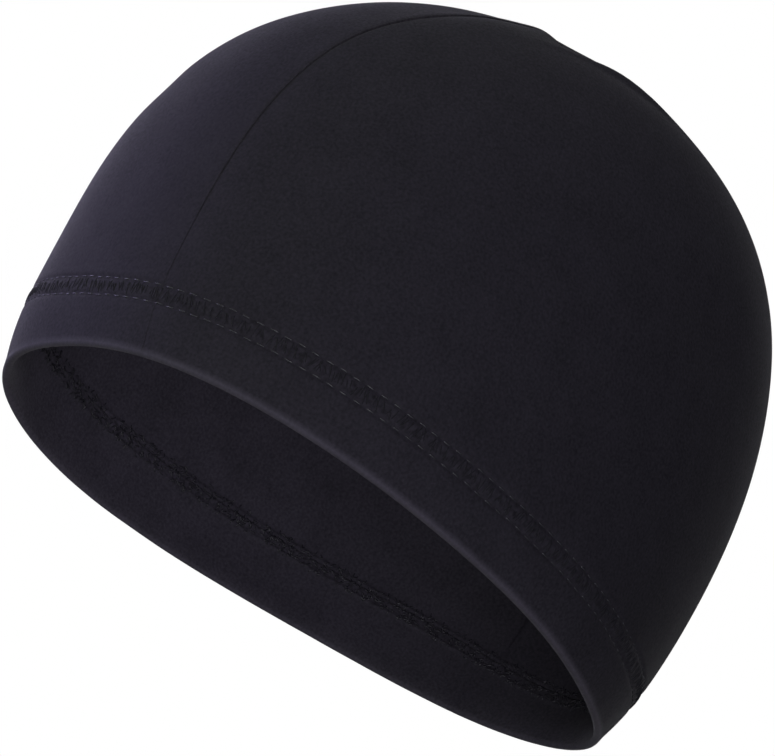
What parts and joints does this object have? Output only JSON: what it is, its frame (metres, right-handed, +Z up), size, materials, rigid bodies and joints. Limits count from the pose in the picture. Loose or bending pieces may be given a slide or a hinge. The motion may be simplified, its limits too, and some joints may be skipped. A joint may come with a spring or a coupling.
{
  "type": "helmet liner cap",
  "caption": "Thin stretch-knit skull cap worn under a helmet: a centre strip and rounded side panels, with a turned-in, cover-stitched hem.",
  "frame": {"origin": "top of the hollow, where the crown of the head touches the inside of the cloth", "axes": "+Z up, -Y towards the forehead edge, +X towards the wearer's left"},
  "size_m": [0.1646, 0.2059, 0.1594],
  "materials": {
    "knit": "matt stretch knit"
  },
  "bodies": {
    "root": {"center_panel": "knit", "left_side_panel": "knit", "right_side_panel": "knit"}
  },
  "joints": []
}
